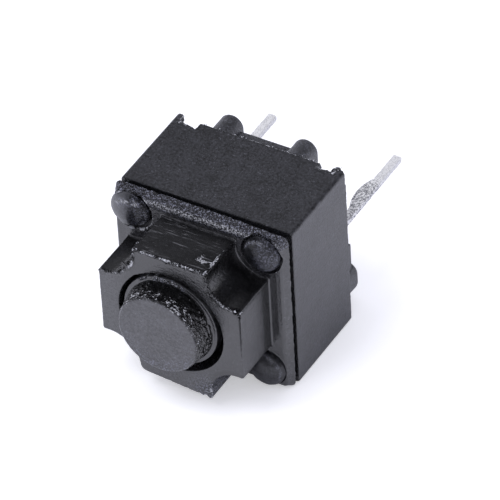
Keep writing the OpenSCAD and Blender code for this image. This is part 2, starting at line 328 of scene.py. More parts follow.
def loft(rings, closed=False):
    """Vertices and faces of a skin over rings of equal count, capped at both ends or closed from last to first."""
    count = len(rings[0])
    faces = []
    for r in range(len(rings) if closed else len(rings) - 1):
        a, b = r * count, (r + 1) % len(rings) * count
        faces += [(a + i, a + (i + 1) % count, b + (i + 1) % count, b + i) for i in range(count)]
    if not closed:
        start = (len(rings) - 1) * count
        faces += [tuple(range(count - 1, -1, -1)), tuple(range(start, start + count))]
    return np.vstack(rings), faces


def piece(name, verts, faces):
    """A closed mesh object in millimetres."""
    mesh = bpy.data.meshes.new(name)
    mesh.from_pydata(np.asarray(verts, float).tolist(), [], faces)
    return linked(name, mend(mesh))


def merged_copy(node, floor=None):
    """The packed node's mesh as one closed shape in millimetres, cut off and capped below floor."""
    return linked(node, mend(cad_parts[node].data.copy(), 1 / MM, floor))


def settle(obj):
    """Turns the evaluated object into its own plain mesh and removes its modifiers."""
    evaluated = obj.evaluated_get(bpy.context.evaluated_depsgraph_get())
    mesh = bpy.data.meshes.new_from_object(evaluated)
    obj.modifiers.clear()
    obj.data = mesh


def combine(obj, others, operation):
    """Adds or cuts closed shapes exactly, and removes them."""
    for other in others:
        step = obj.modifiers.new("combine", "BOOLEAN")
        step.object = other
        step.operation = operation
        step.solver = "EXACT"
        settle(obj)
        bpy.data.objects.remove(other)
        if not obj.data.polygons:
            raise RuntimeError(f"{obj.name} lost its faces")
    return obj


def finish_piece(obj, body, material, nodes=(), angle=40):
    """Brings a piece from millimetres to metres, and shades, paints and rides it."""
    obj.data.transform(Matrix.Scale(MM, 4))
    obj.data.shade_smooth()
    obj.data.set_sharp_from_angle(angle=math.radians(angle))
    obj.data.materials.clear()
    obj.data.materials.append(material)
    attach(obj, body)
    if nodes:
        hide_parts(*nodes)


def paint(obj, **layers):
    """Writes attributes of one number for each vertex."""
    for name, values in layers.items():
        layer = obj.data.attributes.new(name, "FLOAT", "POINT")
        layer.data.foreach_set("value", np.asarray(values, np.float32))


def places(obj):
    """The vertices of an unfinished piece, in millimetres."""
    co = np.zeros(len(obj.data.vertices) * 3)
    obj.data.vertices.foreach_get("co", co)
    return co.reshape(-1, 3)


# Node tools


class Wiring:
    """Short ways to add and join nodes in one tree."""

    def __init__(self, tree):
        self.tree = tree
        self.across = 0

    def add(self, kind, inputs=None, **settings):
        """A new node with these settings, and with what its inputs, given by name or number, are fed."""
        node = self.tree.nodes.new(kind)
        self.across += 190
        node.location = (self.across, 0)
        for key, value in settings.items():
            setattr(node, key, value)
        for key, value in (inputs or {}).items():
            self.put(node.inputs[key], value)
        return node

    def put(self, target, value):
        """Feeds a socket with a value, another socket, or a node's first output."""
        if isinstance(value, bpy.types.Node):
            value = value.outputs[0]
        if isinstance(value, bpy.types.NodeSocket):
            self.tree.links.new(value, target)
        else:
            target.default_value = value

    def maths(self, operation, a, b=0.5, clamp=False):
        return self.add("ShaderNodeMath", {0: a, 1: b}, operation=operation, use_clamp=clamp).outputs[0]

    def times(self, a, b, clamp=False):
        return self.maths("MULTIPLY", a, b, clamp)

    def plus(self, a, b, clamp=False):
        return self.maths("ADD", a, b, clamp)

    def vectors(self, operation, a, b):
        """A vector with another one, or with a number to scale it."""
        second = "Scale" if operation == "SCALE" else 1
        return self.add("ShaderNodeVectorMath", {0: a, second: b}, operation=operation).outputs[0]

    def rotate(self, vector, turn):
        return self.add("ShaderNodeMapping", {"Vector": vector, "Rotation": turn}).outputs[0]

    def noise(self, vector, scale, detail=3.0, rough=0.6):
        fed = {"Vector": vector, "Scale": scale, "Detail": detail, "Roughness": rough}
        return self.add("ShaderNodeTexNoise", fed).outputs["Fac"]

    def span(self, value, low, high, new_low=0.0, new_high=1.0):
        fed = dict(enumerate((value, low, high, new_low, new_high)))
        return self.add("ShaderNodeMapRange", fed, interpolation_type="SMOOTHSTEP").outputs[0]

    def mix(self, part, a, b):
        return self.add("ShaderNodeMix", {0: part, 6: a, 7: b}, data_type="RGBA").outputs[2]

    def attribute(self, name):
        return self.add("ShaderNodeAttribute", attribute_name=name).outputs["Fac"]

    def bump(self, height, strength, distance, normal=None):
        fed = {"Height": height, "Strength": strength, "Distance": distance * MM}
        if normal is not None:
            fed["Normal"] = normal
        return self.add("ShaderNodeBump", fed).outputs[0]

    def group(self, maker, **values):
        """A shader node group, made once and then shared."""
        tree = bpy.data.node_groups.get(maker.__name__) or maker(maker.__name__)
        return self.add("ShaderNodeGroup", values, node_tree=tree).outputs

    def here(self):
        """Object coordinates in millimetres."""
        return self.vectors("MULTIPLY", self.add("ShaderNodeTexCoord").outputs["Object"], (1 / MM,) * 3)


def rgb(tint, factor=1.0):
    return (*[factor * c for c in tint], 1.0)


def node_group(name, kind, inputs, outputs):
    """An empty node group: its tree, its wiring, its inputs and its outputs.

    A socket is given by its name with a default number or with its type.
    """
    tree = bpy.data.node_groups.new(name, kind)
    numbers = {float: "NodeSocketFloat", int: "NodeSocketInt"}
    for side, sockets in (("INPUT", inputs), ("OUTPUT", outputs)):
        for socket, given in sockets.items():
            number = numbers.get(type(given))
            made = tree.interface.new_socket(socket, in_out=side, socket_type=number or given)
            if number:
                made.default_value = given
    wire = Wiring(tree)
    return tree, wire, wire.add("NodeGroupInput").outputs, wire.add("NodeGroupOutput").inputs


def shader_group(name, inputs, outputs):
    """A shader node group whose outputs are numbers, with the place to look at as its first input."""
    inputs = {"Place": "NodeSocketVector", **inputs}
    return node_group(name, "ShaderNodeTree", inputs, dict.fromkeys(outputs, 0.0))


# Materials


def moulded_grain(name):
    """Fine grain of a spark-eroded mould: height, tone and pale specks that change over the surface."""
    tree, wire, ins, outs = shader_group(name, {"Grain": 22.0, "Mottle": 1.6}, ("Height", "Tone", "Speck"))
    fine = wire.noise(ins["Place"], ins["Grain"], 4.0, 0.65)
    broad = wire.noise(ins["Place"], ins["Mottle"], 5.0, 0.6)
    coarse = wire.noise(ins["Place"], wire.times(ins["Grain"], 0.35), 2.0, 0.5)
    specks = wire.noise(ins["Place"], wire.times(ins["Grain"], 1.5), 1.0, 0.5)
    wire.put(outs["Height"], wire.plus(wire.times(fine, 0.7), wire.times(coarse, 0.3)))
    wire.put(outs["Tone"], wire.span(wire.plus(wire.times(fine, 0.75), wire.times(broad, 0.25)), 0.34, 0.66))
    wire.put(outs["Speck"], wire.span(specks, 0.66, 0.78))
    return tree


def edge_wear(name):
    """Breaks a painted mask into ragged scuffs: wear, and on the plunger's flank painted glints."""
    tree, wire, ins, outs = shader_group(name, {"Mask": 0.0, "Scale": 25.0, "Sharpness": 0.12}, ("Scuff", "Height"))
    crumbs = wire.noise(ins["Place"], ins["Scale"], 4.0, 0.7)
    patches = wire.span(wire.noise(ins["Place"], 6.0, 2.0, 0.5), 0.35, 0.65, 0.2, 0.55)
    level = wire.plus(wire.times(ins["Mask"], patches), crumbs)
    scuffs = wire.span(level, 0.9, wire.plus(ins["Sharpness"], 0.9))
    wire.put(outs["Scuff"], wire.times(scuffs, wire.span(ins["Mask"], 0.02, 0.2)))
    wire.put(outs["Height"], wire.times(crumbs, ins["Mask"]))
    return tree


def cast_crust(name):
    """Coarse sandy skin on a painted mask, with pale grains where the mask is above 1; on the plunger's shoulder those
    grains are painted highlights.
    """
    tree, wire, ins, outs = shader_group(name, {"Mask": 0.0, "Scale": 18.0}, ("Crust", "Pale", "Height"))
    grains = wire.noise(ins["Place"], ins["Scale"], 4.0, 0.8)
    wire.put(outs["Pale"], wire.times(wire.span(grains, 0.48, 0.58), wire.span(ins["Mask"], 1.0, 1.7)))
    wire.put(outs["Crust"], wire.times(wire.span(grains, 0.515, 0.6), ins["Mask"]))
    wire.put(outs["Height"], wire.times(grains, ins["Mask"]))
    return tree


def fine_scratches(name):
    """Long thin marks along the first axis of Place."""
    tree, wire, ins, outs = shader_group(name, {"Length": 0.85, "Fineness": 12.0}, ("Mark", "Height"))
    spread = wire.add("ShaderNodeCombineXYZ", {0: ins["Length"], 1: ins["Fineness"], 2: ins["Fineness"]})
    lines = wire.noise(wire.vectors("MULTIPLY", ins["Place"], spread), 1.0, 5.0, 0.8)
    patches = wire.noise(ins["Place"], 1.7, 2.0, 0.5)
    wire.put(outs["Mark"], wire.times(wire.span(lines, 0.55, 0.66), wire.span(patches, 0.35, 0.6, 0.3, 1.0)))
    wire.put(outs["Height"], lines)
    return tree


def new_material(name):
    """A material with its wiring and its Principled shader."""
    material = bpy.data.materials.new(name)
    material.use_nodes = True
    shader = material.node_tree.nodes["Principled BSDF"]
    shader.location = (3000, 0)
    return material, Wiring(material.node_tree), shader.inputs


def black_plastic(name, base, torn, grain=11.0, rough=0.36, depth=0.01, scratch_turn=0.0, scratches=0.09,
                  mottle=2.6, gloss=1.0):
    """Black moulded plastic with grain and scratches.

    Painted attributes add to it: one scuffs it as wear, and on the plunger's flank as painted glints; band makes it a
    coarse cast skin, and on the plunger's shoulder paints highlight lines; flow draws lines in it; one darkens it as
    painted shade and makes it glossier;
    and one pales it, with pale marks and with painted light.
    """
    material, wire, shader = new_material(name)
    here = wire.here()
    skin = wire.group(moulded_grain, Place=here, Grain=grain)
    scuffs_and_glints = wire.group(edge_wear, Place=here, Mask=wire.attribute("wear"))
    crust = wire.group(cast_crust, Place=here, Mask=wire.attribute("band"))
    sheen = wire.attribute("sheen")
    marks = wire.group(fine_scratches, Place=wire.rotate(here, (0, 0, scratch_turn)))
    drawn = wire.plus(wire.attribute("flow"), scratches, clamp=True)
    marked = wire.times(marks["Mark"], drawn)

    body = wire.mix(skin["Tone"], rgb(base, 0.2), rgb(base, mottle))
    # The tint at 0.15 of the base is painted shade, and the torn tint at 0.3 is partly painted light.
    for part, tint in ((skin["Speck"], rgb(base, 2.2 * mottle)), (wire.times(sheen, 0.85, clamp=True), rgb(base, 0.15)),
                       (wire.times(marked, 0.34), rgb(torn)), (wire.attribute("frost"), rgb(torn, 0.3)),
                       (crust["Crust"], rgb((0.27, 0.28, 0.36))), (crust["Pale"], rgb(torn, 1.15)),
                       (scuffs_and_glints["Scuff"], rgb(torn))):
        body = wire.mix(part, body, tint)
    wire.put(shader["Base Color"], body)

    grain_spread, blotch_spread = 0.16, 0.12
    blotches = wire.noise(here, 1.1, 3.0, 0.6)
    uneven = wire.plus(wire.times(wire.maths("SUBTRACT", skin["Height"], 0.5), grain_spread),
                       wire.times(wire.maths("SUBTRACT", blotches, 0.5), blotch_spread))
    level = wire.maths("SUBTRACT", wire.plus(uneven, rough), wire.times(sheen, 0.6 * rough))
    wire.put(shader["Roughness"], wire.plus(level, wire.times(marked, 0.1), clamp=True))

    normal = wire.bump(skin["Height"], 1.0, depth)
    normal = wire.bump(wire.times(marks["Height"], drawn), 0.8, 0.03, normal)
    normal = wire.bump(crust["Height"], 1.0, 0.05, normal)
    wire.put(shader["Normal"], wire.bump(scuffs_and_glints["Height"], 0.8, 0.05, normal))
    wire.put(shader["Specular IOR Level"], gloss)
    wire.put(shader["IOR"], 1.6)
    return material


def torn_plastic(base, torn):
    """Stretched plastic, whitened in places."""
    material, wire, shader = new_material("torn_plastic")
    pale = wire.span(wire.noise(wire.here(), 9.0, 3.0, 0.6), 0.46, 0.6)
    wire.put(shader["Base Color"], wire.mix(pale, rgb(base, 2.0), rgb(torn, 1.3)))
    wire.put(shader["Roughness"], wire.plus(wire.times(pale, 0.2), 0.28))
    wire.put(shader["IOR"], 1.6)
    return material


def tinned_metal(tin):
    """Tin plate with crystals, striations and dull patches, cleaner towards the tip."""
    material, wire, shader = new_material("tinned_metal")
    here = wire.here()
    crystals = wire.noise(wire.vectors("MULTIPLY", here, (1.0, 1.0, 0.6)), 8.0, 4.0, 0.7)
    creases = wire.span(wire.maths("ABSOLUTE", wire.maths("SUBTRACT", crystals, 0.5)), 0.008, 0.045, 1.0, 0.0)
    height = wire.add("ShaderNodeSeparateXYZ", {0: here}).outputs[2]
    dark = wire.times(creases, wire.span(height, -2.4, -1.7, 0.3, 1.0))
    lines = wire.group(fine_scratches, Place=wire.rotate(here, (0, math.pi / 2, 0)), Length=1.2, Fineness=20.0)
    wire.put(shader["Base Color"], wire.mix(dark, rgb(tin), rgb((0.05, 0.055, 0.085))))
    wire.put(shader["Roughness"], wire.plus(wire.times(crystals, 0.3), 0.3))
    wire.put(shader["Metallic"], 0.18)
    wire.put(shader["Normal"], wire.bump(lines["Height"], 0.7, 0.02, wire.bump(crystals, 0.8, 0.04)))
    return material


def sprung_steel():
    """Bright rolled spring steel."""
    material, wire, shader = new_material("sprung_steel")
    lines = wire.group(fine_scratches, Place=wire.here(), Length=0.6, Fineness=30.0)
    wire.put(shader["Base Color"], wire.mix(lines["Mark"], rgb((0.6, 0.6, 0.61)), rgb((0.42, 0.42, 0.43))))
    wire.put(shader["Roughness"], wire.plus(wire.times(lines["Height"], 0.2), 0.12))
    wire.put(shader["Normal"], wire.bump(lines["Height"], 0.5, 0.008))
    wire.put(shader["Metallic"], 1.0)
    return material


def pale_silicone():
    """Soft pale silicone with fine dust."""
    material, wire, shader = new_material("pale_silicone")
    skin = wire.group(moulded_grain, Place=wire.here(), Grain=12.0)
    wire.put(shader["Base Color"], wire.mix(skin["Tone"], rgb((0.62, 0.62, 0.58)), rgb((0.74, 0.74, 0.7))))
    wire.put(shader["Roughness"], wire.plus(wire.times(skin["Tone"], 0.12), 0.5))
    wire.put(shader["Normal"], wire.bump(skin["Height"], 0.4, 0.01))
    return material


# Node groups that repeat a form


def geometry_group(name, inputs):
    """A geometry node group from a mesh, with its own inputs and a material, to a mesh."""
    inputs = {"Geometry": "NodeSocketGeometry", **inputs, "Material": "NodeSocketMaterial"}
    return node_group(name, "GeometryNodeTree", inputs, {"Geometry": "NodeSocketGeometry"})


def grow(name, tree, values, points, edges=()):
    """Runs a tree on a small mesh of points and edges and keeps its result as a plain mesh."""
    mesh = bpy.data.meshes.new(name)
    mesh.from_pydata([tuple(c * MM for c in p) for p in points], list(edges), [])
    obj = linked(name, mesh)
    step = obj.modifiers.new(tree.name, "NODES")
    step.node_group = tree
    for item in tree.interface.items_tree:
        if item.item_type == "SOCKET" and item.in_out == "INPUT" and item.name in values:
            step[item.identifier] = values[item.name]
    settle(obj)
    obj.data.transform(Matrix.Scale(1 / MM, 4))
    return obj


def stake_tree():
    """A melted dome on each input point, each with its own lumps."""
    tree, wire, ins, outs = geometry_group("Stake Heads", {
        "Radius": 0.67 * MM, "Height": 0.42 * MM, "Melt": 0.03 * MM, "Seed": 3})
    ball = wire.add("GeometryNodeMeshUVSphere", {"Segments": 64, "Rings": 40, "Radius": 1.0})
    here = wire.add("GeometryNodeInputPosition")
    x, y, z = wire.add("ShaderNodeSeparateXYZ", {0: here}).outputs
    under = wire.times(wire.maths("MINIMUM", z, 0.0), 0.12)
    dome = wire.times(wire.plus(wire.maths("MAXIMUM", z, 0.0), under), ins["Height"])
    across, along = (wire.times(side, ins["Radius"]) for side in (x, y))
    shaped = wire.add("ShaderNodeCombineXYZ", {0: across, 1: along, 2: dome})
    head = wire.add("GeometryNodeSetPosition", {"Geometry": ball, "Position": shaped})
    spots = wire.add("GeometryNodeMeshToPoints", {"Mesh": ins["Geometry"]})
    heads = wire.add("GeometryNodeRealizeInstances", {
        0: wire.add("GeometryNodeInstanceOnPoints", {"Points": spots, "Instance": head})})
    lumps = wire.add("ShaderNodeTexNoise", {"Vector": here, "W": ins["Seed"], "Scale": 1900.0, "Detail": 3.0},
                     noise_dimensions="4D").outputs["Fac"]
    swell = wire.vectors("SCALE", wire.add("GeometryNodeInputNormal"),
                         wire.times(wire.maths("SUBTRACT", lumps, 0.62), ins["Melt"]))
    melted = wire.add("GeometryNodeSetPosition", {"Geometry": heads, "Offset": swell})
    coat = wire.add("GeometryNodeSetMaterial", {"Geometry": melted, "Material": ins["Material"]})
    wire.put(outs["Geometry"], coat)
    return tree


def flash_tree():
    """Slivers of torn plastic along the input's edges, in clusters, each turned and sized by chance."""
    tree, wire, ins, outs = geometry_group("Torn Flash", {
        "Spacing": 0.014 * MM, "Size": 0.035 * MM, "Spread": 0.04 * MM, "Density": 0.5, "Seed": 5})
    path = wire.add("GeometryNodeMeshToCurve", {"Mesh": ins["Geometry"]})
    spots = wire.add("GeometryNodeCurveToPoints", {"Curve": path, "Length": ins["Spacing"]}, mode="LENGTH")
    here = wire.add("GeometryNodeInputPosition")

    def chance(kind, low, high, salt):
        first, out = (0, 0) if kind == "FLOAT_VECTOR" else (2, 1)
        fed = {first: low, first + 1: high, "Seed": wire.plus(ins["Seed"], salt)}
        return wire.add("FunctionNodeRandomValue", fed, data_type=kind).outputs[out]

    away = wire.vectors("SCALE", chance("FLOAT_VECTOR", (-1, -1, -1), (1, 1, 1), 1.0), ins["Spread"])
    shaken = wire.add("GeometryNodeSetPosition", {"Geometry": spots, "Offset": away})
    sliver = wire.add("GeometryNodeMeshIcoSphere", {"Radius": 1.0, "Subdivisions": 2})
    clusters = wire.plus(wire.noise(here, 3500.0, 2.0, 0.5), chance("FLOAT", -0.2, 0.2, 2.0))
    kept = wire.add("FunctionNodeCompare", data_type="FLOAT", operation="LESS_THAN")
    wire.put(kept.inputs[0], clusters)
    wire.put(kept.inputs[1], ins["Density"])
    grown = wire.vectors("SCALE", chance("FLOAT_VECTOR", (0.2, 0.15, 0.2), (1.6, 0.6, 0.9), 4.0), ins["Size"])
    many = wire.add("GeometryNodeInstanceOnPoints", {
        "Points": shaken, "Selection": kept, "Instance": sliver, "Scale": grown,
        "Rotation": chance("FLOAT_VECTOR", (0, 0, 0), (6.28, 6.28, 6.28), 3.0)})
    real = wire.add("GeometryNodeRealizeInstances", {0: many})
    crumple = wire.add("ShaderNodeTexNoise", {"Vector": here, "Scale": 30000.0}).outputs["Color"]
    bent = wire.vectors("SCALE", wire.vectors("SUBTRACT", crumple, (0.5, 0.5, 0.5)), wire.times(ins["Size"], 1.2))
    crumpled = wire.add("GeometryNodeSetPosition", {"Geometry": real, "Offset": bent})
    coat = wire.add("GeometryNodeSetMaterial", {"Geometry": crumpled, "Material": ins["Material"]})
    wire.put(outs["Geometry"], coat)
    return tree


# Operators


class SWITCH_OT_stage(bpy.types.Operator):
    """Lays the floor and sets the camera, the lamp and the world"""

    bl_idname = "switch.stage"
    bl_label = "Stage"

    def execute(self, context):
        stage = context.scene.switch_stage
        self.floor(stage)
        self.camera(context.scene, stage)
        self.world(context.scene, stage)
        self.lamp(stage)
        context.scene.view_settings.view_transform = "Standard"
        return {"FINISHED"}

    def floor(self, stage):
        """The switch lies on its side, so the floor touches the box's Y- face and faces Y+."""
        y, far = BASE_LOW.y, 0.4
        mesh = bpy.data.meshes.new("floor")
        mesh.from_pydata([(-far, y, far), (far, y, far), (far, y, -far), (-far, y, -far)], [], [(0, 1, 2, 3)])
        floor = linked("floor", mesh)
        material = bpy.data.materials.new("pale_floor")
        material.use_nodes = True
        material.node_tree.nodes.clear()
        wire = Wiring(material.node_tree)
        matt = wire.add("ShaderNodeBsdfDiffuse", {"Color": rgb(stage.floor)})
        seen = wire.add("ShaderNodeLightPath").outputs["Is Camera Ray"]
        glow = wire.add("ShaderNodeEmission", {"Strength": wire.times(seen, 0.4)})
        both = wire.add("ShaderNodeAddShader", {0: matt, 1: glow})
        behind = wire.add("ShaderNodeNewGeometry").outputs["Backfacing"]
        clear = wire.add("ShaderNodeBsdfTransparent")
        shown = wire.add("ShaderNodeMixShader", {0: behind, 1: both, 2: clear})
        wire.add("ShaderNodeOutputMaterial", {"Surface": shown})
        mesh.materials.append(material)

    def camera(self, scene, stage):
        """Long lens at the photograph's angle, with the seam's middle a little off the picture's."""
        view = Vector((-0.402, -0.652, -0.642)).normalized()
        right = Vector((0.866, -0.044, -0.498)).normalized()
        right = (right - view * right.dot(view)).normalized()
        up = right.cross(view)
        data = bpy.data.cameras.new("camera")
        data.lens = stage.lens
        data.sensor_width = 36.0
        data.clip_start, data.clip_end = 0.001, 2.0
        camera = linked("camera", data)
        turn = Matrix((right, up, -view)).transposed().to_4x4()
        seam = Vector((0, 0, COVER_LOW.z))
        turn.translation = seam - view * stage.distance + right * 1.203 * MM + up * 0.913 * MM
        camera.matrix_world = turn
        scene.camera = camera

    def world(self, scene, stage):
        """White where seen, soft light all round, and a dark room with a pale horizon and panel where mirrored."""
        world = bpy.data.worlds.new("studio")
        scene.world = world
        world.use_nodes = True
        world.node_tree.nodes.clear()
        wire = Wiring(world.node_tree)
        rays = wire.add("ShaderNodeLightPath").outputs
        mirrored = wire.maths("MAXIMUM", rays["Is Glossy Ray"], rays["Is Transmission Ray"])
        toward = wire.add("ShaderNodeTexCoord").outputs["Generated"]
        height = wire.add("ShaderNodeSeparateXYZ", {0: toward}).outputs[1]
        horizon = wire.span(height, 0.0, 0.24, 1.0, stage.room)
        panel_way = Vector((-0.42, 0.66, -0.62)).normalized()
        facing = wire.add("ShaderNodeVectorMath", {0: toward, 1: panel_way}, operation="DOT_PRODUCT").outputs["Value"]
        panel = wire.span(facing, 0.78, 0.98, 0.0, stage.panel)
        room = wire.maths("MAXIMUM", horizon, panel)
        strength = wire.add("ShaderNodeMix", {0: mirrored, 2: stage.ambient, 3: room}, data_type="FLOAT")
        shown = wire.maths("MAXIMUM", strength, rays["Is Camera Ray"])
        glow = wire.add("ShaderNodeBackground", {"Strength": shown, "Color": (0.96, 0.965, 1.06, 1)})
        wire.add("ShaderNodeOutputWorld", {"Surface": glow})

    def lamp(self, stage):
        """A soft square lamp over the switch, unseen and unmirrored."""
        data = bpy.data.lights.new("key_lamp", "AREA")
        data.shape = "SQUARE"
        data.size = 0.05
        data.energy = stage.key
        lamp = linked("key_lamp", data)
        away = Vector((-0.3, 1.0, 0.42)).normalized()
        lamp.location = Vector((0, 0, 0.004)) + away * 0.12
        lamp.rotation_mode = "QUATERNION"
        lamp.rotation_quaternion = away.to_track_quat("Z", "Y")
        lamp.visible_camera = False
        lamp.visible_glossy = False


class SWITCH_OT_base(bpy.types.Operator):
    """Builds the base box with its feet, ribs, notches and cavity"""

    bl_idname = "switch.base"
    bl_label = "Base Box"

    def execute(self, context):
        settings = context.scene.switch_housing
        s = Sizes(settings)
        box = self.box(s)
        combine(box, self.legs(s), "UNION")
        combine(box, self.hollows(s), "DIFFERENCE")
        self.wear(box, s)
        material = black_plastic("base_plastic", settings.plastic, context.scene.switch_cover.torn, rough=0.38,
                                 scratches=0.1, mottle=3.6, depth=0.03)
        finish_piece(box, "housing", material, ["base"])
        return {"FINISHED"}

    def box(self, s):
        """Outer box with rounded, slightly uneven edges, and two burrs beside the notches."""
        low, high, edge = s.under, s.seam, s.edge
        steps = [(0.25, low), (0.12, low), (edge, low)]
        steps += [(b, low + a) for a, b in bevel(edge, 4, 0.4, 1.57)]
        steps += [(0, z) for z in np.linspace(low + 0.08, high - 0.08, 30)]
        steps += [(a, high - b) for a, b in bevel(edge, 5, 0, 1.57)]
        steps += [(0.12, high), (0.25, high)]
        rings = []
        for inset, level in steps:
            points = ring(rounded_square(HALF - inset, max(s.corner - inset, 0.01), 140, 8), level)
            x, y, z = points.T
            if level < low + 0.1 and inset <= 0.12:
                left, right = ramp(-2.72, -2.8, x), np.exp(-((x - 2.7) / 0.11) ** 4)
                z -= (y > 2.5) * (0.14 * left + 0.1 * right - 0.05 * ramp(2.88, 2.98, x))
            near = spot(0.04, min(level - low, high - level))
            if near > 0 and inset <= edge + 1e-6:
                points[:, :2] = offset(points[:, :2], 0.012 * near * (ragged(points, 0.12, 5) - 0.4))
            rings.append(points)
        return piece("base_box", *loft(rings))

    def legs(self, s):
        """Feet with rounded tips, and the ribs that brace them."""
        depth = s.foot_length / 2
        rear, front = HALF - 0.16 - depth, 0.32 + depth - HALF
        left, right, outer = -1.54, 1.08, 2.32
        feet = ((left, rear), (right, rear), (-outer, front), (outer, front))
        ribs = ((left, rear - 0.15, right, rear + 0.15), (2.3, front, 2.6, front + 1.45),
                (-2.6, front, -2.3, front + 1.45))
        return [self.foot(s, x, y) for x, y in feet] + [self.rib(s, *ends) for ends in ribs]

    def foot(self, s, x, y):
        tip, top, flare = s.foot_tip, s.under, 0.08
        end = np.array(arc(0, (s.foot_length - s.foot_width) / 2, s.foot_width / 2, np.linspace(0, math.pi, 24)))
        plan = np.vstack([end, -end])
        rings = [ring(offset(plan, -tip - 0.1), 0.0)]
        rings += [ring(offset(plan, -b), a) for a, b in bevel(tip, 7)]
        rings += [ring(plan, z) for z in np.linspace(tip + 0.1, top - flare, 7)]
        rings += [ring(offset(plan, a), top - b) for a, b in bevel(flare, 6, 0.2)]
        rings.append(ring(offset(plan, flare), top + 0.05))
        rings = [r + np.array([x, y, 0]) for r in rings]
        for r in rings[:-2]:
            r[:, :2] = offset(r[:, :2], 0.008 * ragged(r, 0.35, 8))
        return piece("foot", *loft(rings))

    def rib(self, s, x0, y0, x1, y1):
        low, high, edge = 0.2, s.under + 0.05, 0.04
        count = 4 * round((x1 - x0 + y1 - y0) / 0.1)
        plan = at_shares(np.array([(x1, y0), (x1, y1), (x0, y1), (x0, y0)]), np.arange(count) / count)
        middle, half = plan.mean(0), np.array([x1 - x0, y1 - y0]) / 2
        rings = [ring(middle + (plan - middle) * (half - b) / half, low + a) for a, b in bevel(edge, 5)]
        return piece("rib", *loft(rings + [ring(plan, high)]))

    def hollows(self, s):
        """Cavity, the dome's pocket and the two torn notches."""
        floor, ledge, pocket, inner = 2.0, 2.5, 2.1, 2.4
        profile = ((pocket, floor), (pocket, ledge), (inner, ledge), (inner, s.seam - 0.05),
                   (inner + 0.06, s.seam + 0.1))
        return [piece("cavity", *loft(turned(profile, 96))), self.notch(s, -1), self.notch(s, 1)]

    def notch(self, s, side):
        """A block with torn faces and a sloping roof, cut from the lower edge of the Y+ face."""
        near, wide, slope = (0.28, s.notch_width, 0.25) if side < 0 else (0.38, s.notch_width - 0.1, -0.08)
        deep, over = s.notch_depth, 0.2
        middle = side * (HALF - near - wide / 2)
        noise.seed_set(NOTCH_SEED)
        made = bmesh.new()
        bmesh.ops.create_cube(made, size=1.0)
        bmesh.ops.subdivide_edges(made, edges=made.edges, cuts=17, use_grid_fill=True)
        for v in made.verts:
            roof = s.notch_height + slope * v.co.x * wide - 0.06
            p = Vector((middle + v.co.x * wide, HALF - (deep - over) / 2 + v.co.y * (deep + over),
                        s.under - over + (0.5 + v.co.z) * (roof + over)))
            shake = noise.noise_vector(p / 0.22 + Vector((side * 5, 0, 0))) * 0.06
            v.co = p + shake + noise.noise_vector(p / 0.11) * 0.03
        mesh = bpy.data.meshes.new("notch")
        made.to_mesh(mesh)
        made.free()
        return linked("notch", mesh)

    def wear(self, box, s):
        """Painted wear on the underside's edge at Y+, the seam edge and the notches, and a coarse skin on the feet; the
        feet are also made paler as painted light, and the box's top ring at the seam darker as painted shade.
        """
        x, y, z = places(box).T
        to_side = np.maximum(np.abs(x), np.abs(y)) - HALF
        lower = spot(0.05, z - s.under, to_side) * ramp(2.7, 2.95, y)
        upper = spot(0.04, z - s.seam, to_side)
        beside = np.clip(np.abs(np.abs(x) - 2.41) - 0.31, 0, None)
        notch = spot(0.05, beside, np.clip(z - s.under - s.notch_height, 0, None)) * (y > 2.3)
        feet = ramp(s.under + 0.02, s.under - 0.1, z)
        # The pale layer on the feet is painted light, and the dark layer at the seam is painted shade.
        paint(box, frost=0.12 * feet, band=0.25 * feet, sheen=ramp(s.seam - 0.02, s.seam - 0.005, z),
              wear=np.clip(1.2 * lower + 0.35 * upper + 0.9 * notch, 0, 1.2))


